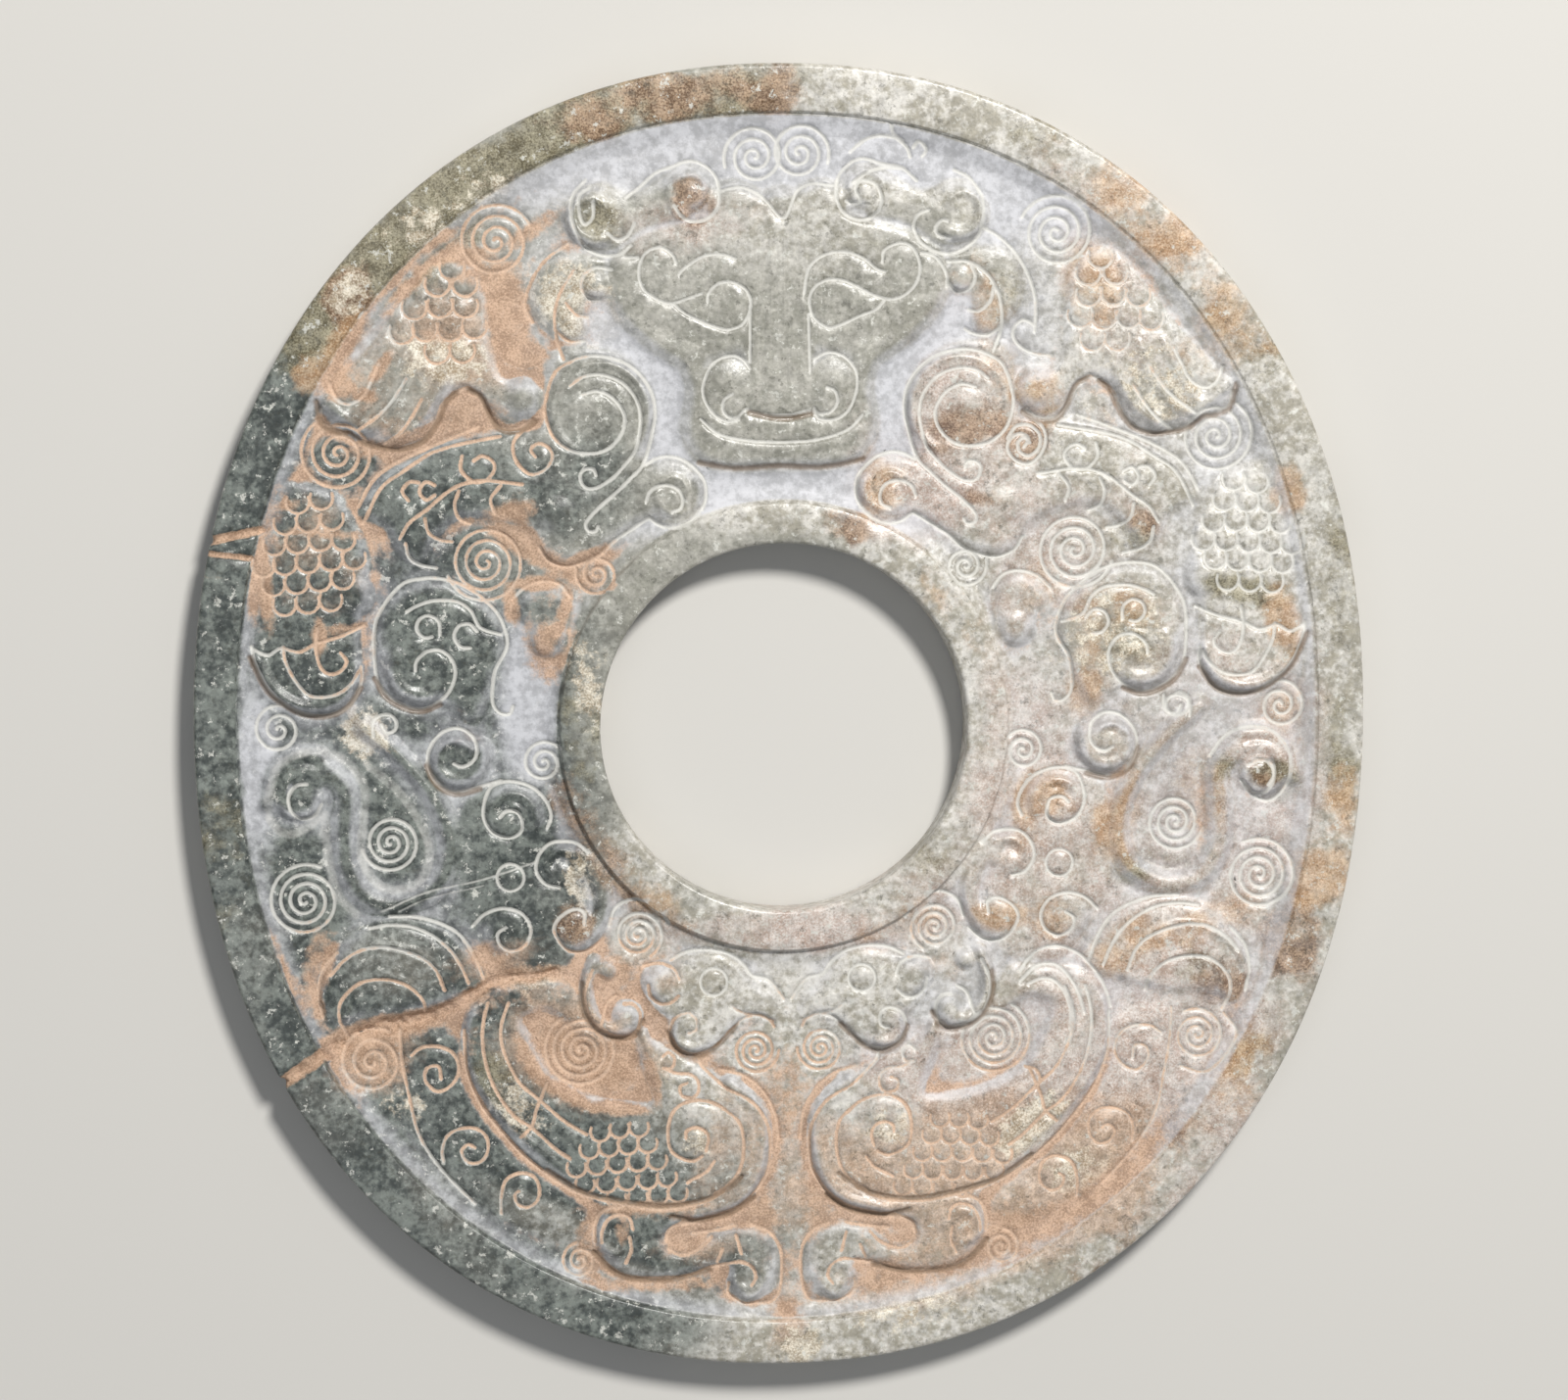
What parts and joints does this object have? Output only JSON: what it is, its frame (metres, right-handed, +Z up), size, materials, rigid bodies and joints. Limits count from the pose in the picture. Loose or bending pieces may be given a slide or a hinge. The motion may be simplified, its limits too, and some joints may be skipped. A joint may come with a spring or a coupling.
{
  "type": "jade bi disc",
  "caption": "Flat oval ring of grey-green jade with a round hole, plain rims and a field carved in low relief with a beast mask, coiling beasts and spirals.",
  "frame": {"origin": "centre of the flat underside", "axes": "+Z up, out of the carved face, as the disc lies; +Y to the beast mask, along the longer width of the oval; +X to the right seen from above"},
  "size_m": [0.2162, 0.2404, 0.009],
  "materials": {
    "jade": "nephrite, satin polish, stained by burial, with orange soil and pale crust in the carving"
  },
  "bodies": {
    "root": {"jade_disc": "jade"}
  },
  "joints": []
}
